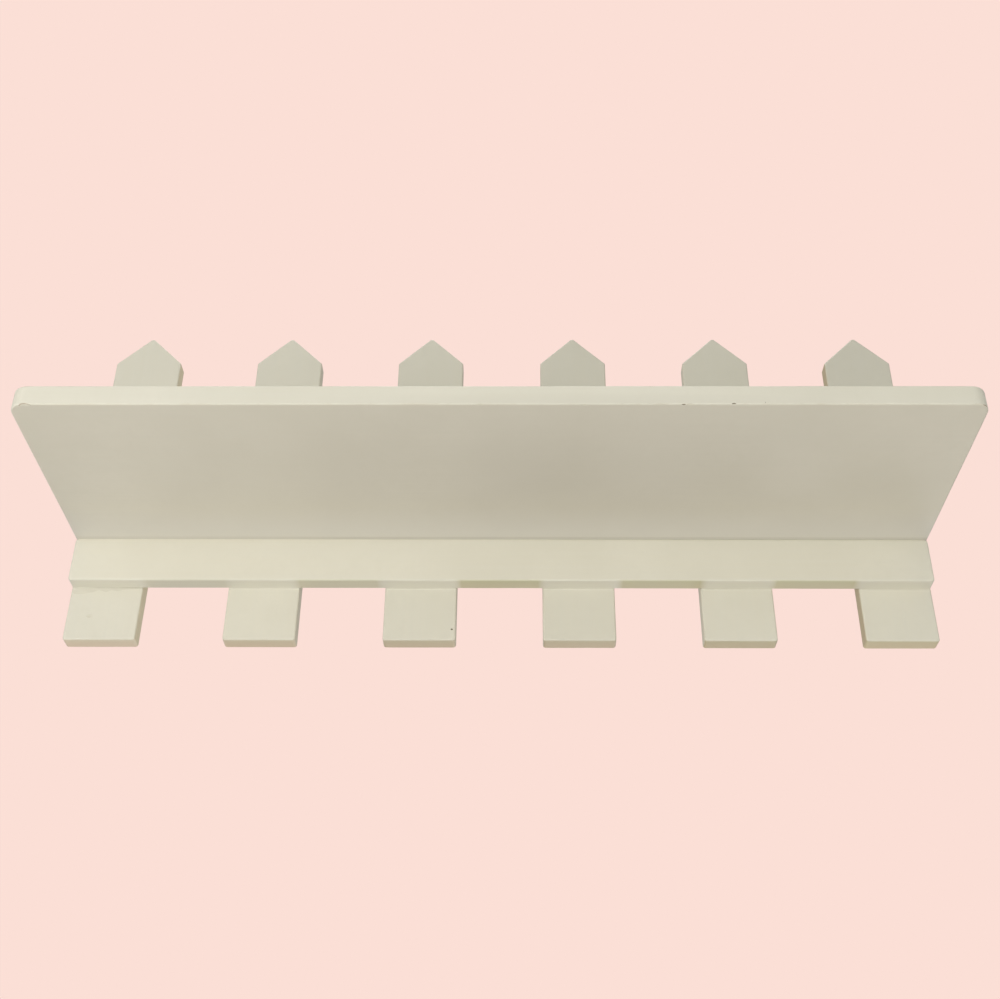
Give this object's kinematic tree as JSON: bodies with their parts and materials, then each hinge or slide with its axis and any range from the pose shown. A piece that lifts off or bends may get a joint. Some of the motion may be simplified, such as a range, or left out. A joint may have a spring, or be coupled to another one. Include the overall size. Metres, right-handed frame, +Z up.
{
  "type": "picket fence wall shelf",
  "caption": "Painted wall shelf built like a short picket fence: a deep board and a rail screwed to pointed upright pickets, hung by keyhole plates.",
  "frame": {"origin": "midway between the round holes of the two keyhole plates, on the wall plane that the picket backs touch", "axes": "+X along the wall to the right seen from the room, +Y into the wall, +Z up"},
  "size_m": [0.61, 0.185, 0.269],
  "materials": {
    "cream_paint": "satin cream paint over primed board, eased edges",
    "beech": "bare turned beech",
    "zinc_screw": "bright zinc plate",
    "zinc_plate": "stamped steel, dull zinc plate"
  },
  "bodies": {
    "root": {"shelf_board": "cream_paint", "front_rail": "cream_paint", "picket_1": "cream_paint", "picket_2": "cream_paint", "picket_3": "cream_paint", "picket_4": "cream_paint", "picket_5": "cream_paint", "picket_6": "cream_paint", "dowel_1": "beech", "dowel_2": "beech", "dowel_3": "beech", "dowel_4": "beech", "dowel_5": "beech", "rail_screw_1": "zinc_screw", "rail_screw_2": "zinc_screw", "rail_screw_3": "zinc_screw", "rail_screw_4": "zinc_screw", "rail_screw_5": "zinc_screw", "rail_screw_6": "zinc_screw", "shelf_screw_1": "zinc_screw", "shelf_screw_2": "zinc_screw", "shelf_screw_3": "zinc_screw", "shelf_screw_4": "zinc_screw", "shelf_screw_5": "zinc_screw", "shelf_screw_6": "zinc_screw", "keyhole_plate_left": "zinc_plate", "keyhole_plate_right": "zinc_plate", "plate_screw_left_upper": "zinc_screw", "plate_screw_left_lower": "zinc_screw", "plate_screw_right_upper": "zinc_screw", "plate_screw_right_lower": "zinc_screw"}
  },
  "joints": []
}
